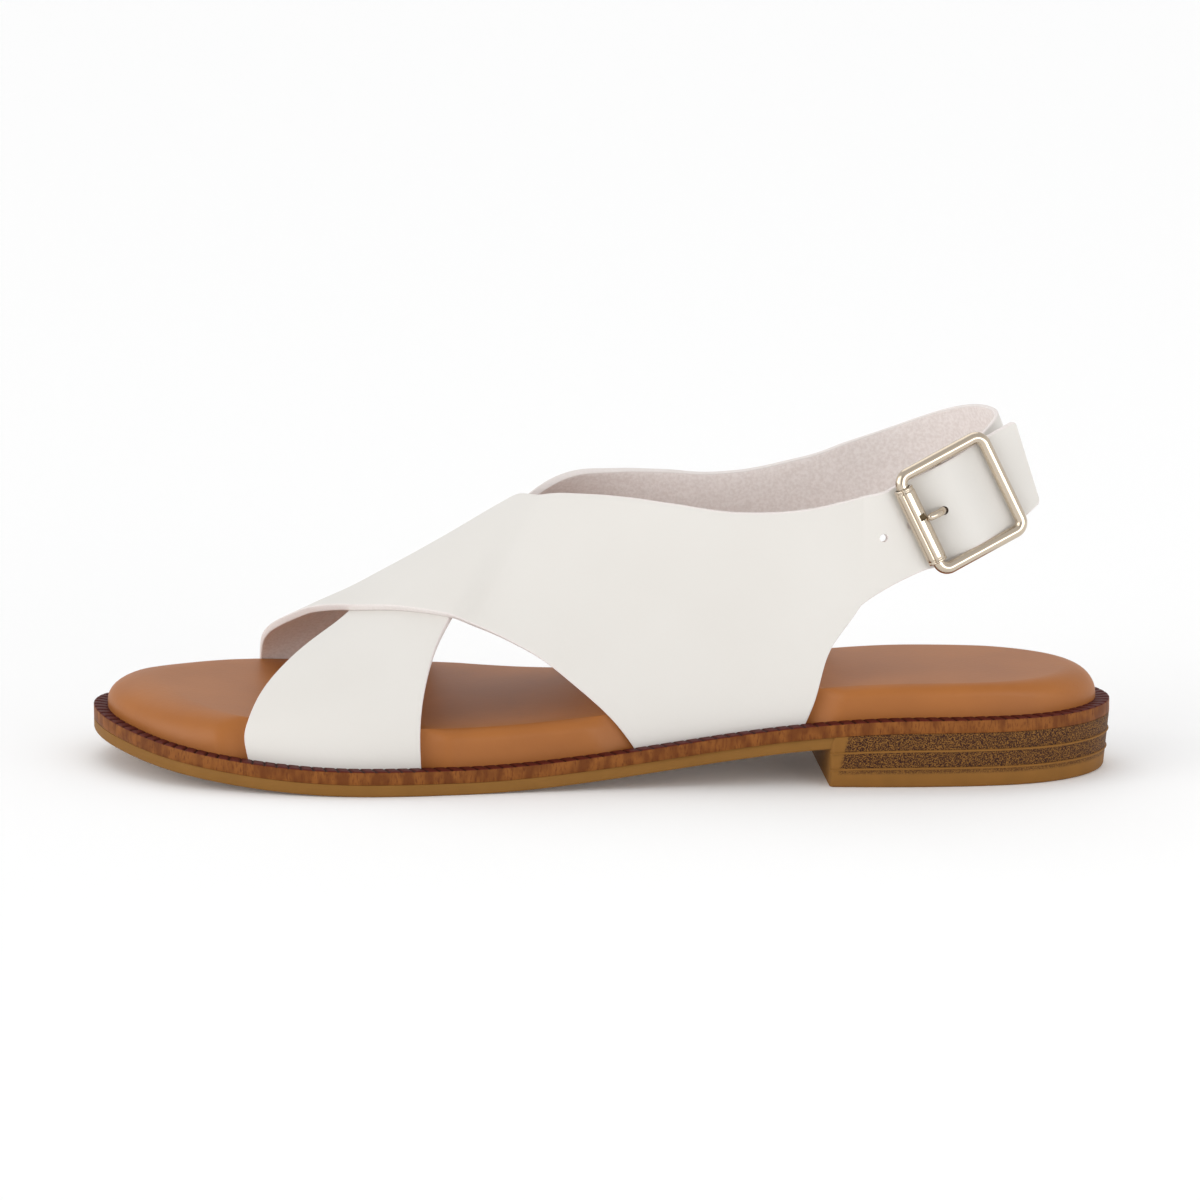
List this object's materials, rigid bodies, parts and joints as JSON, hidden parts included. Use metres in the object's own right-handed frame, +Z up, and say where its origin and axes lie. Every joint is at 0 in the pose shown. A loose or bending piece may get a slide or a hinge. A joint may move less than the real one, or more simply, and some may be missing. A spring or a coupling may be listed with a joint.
{
  "type": "cross-strap sandal",
  "caption": "Flat cross-strap slingback sandal, left shoe: crossed leather straps on a padded footbed, low stacked heel, heel sling fastened by a square roller buckle.",
  "frame": {"origin": "on the floor under the middle of the shoe's box", "axes": "+X from toe to heel, -Y towards the outer side of the foot, +Z up"},
  "size_m": [0.252, 0.0864, 0.0897],
  "materials": {
    "outsole_rubber": "matt ochre rubber",
    "heel_moulding": "moulded heel with a speckled stacked-leather print and raised ribs",
    "midsole_board": "burnished brown board edge with upright grain",
    "welt_leather": "dark red-brown wheeled welt strip",
    "footbed_leather": "smooth tan leather over foam",
    "strap_leather": "smooth white leather with a grey-pink brushed lining",
    "buckle_metal": "polished champagne nickel plate"
  },
  "bodies": {
    "root": {"outsole": "outsole_rubber", "heel": "heel_moulding", "midsole": "midsole_board", "welt": "welt_leather", "insole": "footbed_leather", "upper": "strap_leather", "buckle_frame": "buckle_metal", "buckle_roller": "buckle_metal", "buckle_prong": "buckle_metal"}
  },
  "joints": []
}
